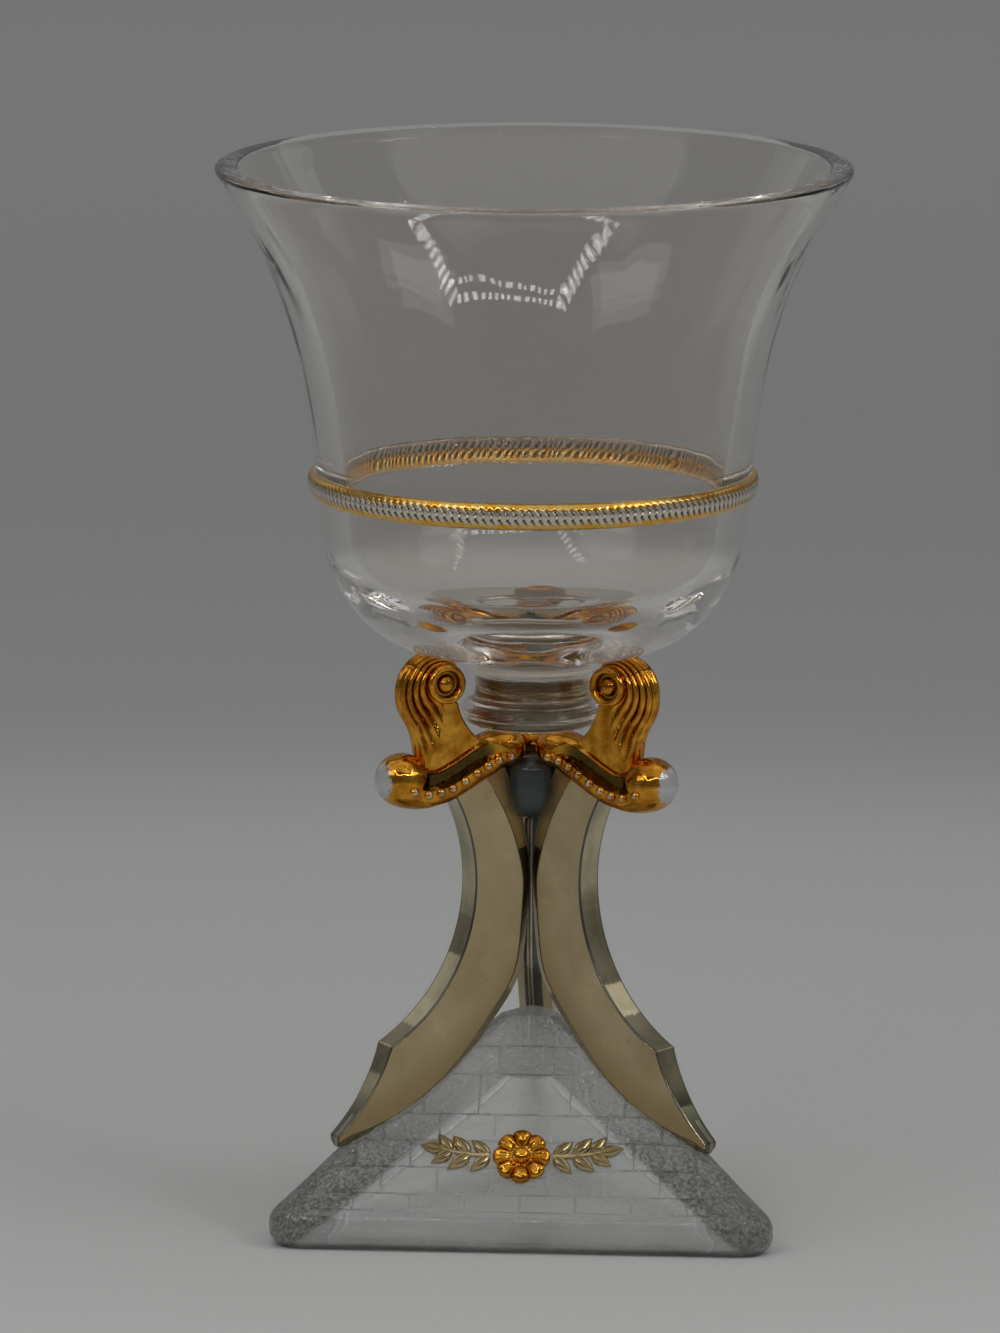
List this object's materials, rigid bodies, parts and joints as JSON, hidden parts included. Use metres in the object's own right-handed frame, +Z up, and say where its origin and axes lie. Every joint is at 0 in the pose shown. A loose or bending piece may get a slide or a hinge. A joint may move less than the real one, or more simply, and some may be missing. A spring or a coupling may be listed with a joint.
{
  "type": "goblet",
  "caption": "Clear pressed-glass goblet with a flared bowl and gilded rope band, on a stem of silvered sabres with gilded hilts that rise from a hollow three-sided foot.",
  "frame": {"origin": "on the goblet's axis, at the level that the foot stands on", "axes": "+Z up along the axis; -Y out of the decorated front face of the foot; +X to the right of it"},
  "size_m": [0.0754, 0.0754, 0.127],
  "materials": {
    "clear_glass": "clear, fire-polished, stippled on the foot",
    "gilding": "bright gold fired on glass",
    "silvering": "warm silver fired on glass"
  },
  "bodies": {
    "root": {"bowl": "clear_glass", "bowl_band": "gilding", "merese": "clear_glass", "knop": "clear_glass", "foot": "clear_glass", "foot_rosette": "gilding", "foot_spray_left": "silvering", "foot_spray_right": "silvering", "sabre_front_left_blade": "silvering", "sabre_front_left_guard": "gilding", "sabre_front_left_grip": "gilding", "sabre_front_right_blade": "silvering", "sabre_front_right_guard": "gilding", "sabre_front_right_grip": "gilding", "sabre_rear_blade": "silvering", "sabre_rear_guard": "gilding", "sabre_rear_grip": "gilding"}
  },
  "joints": []
}
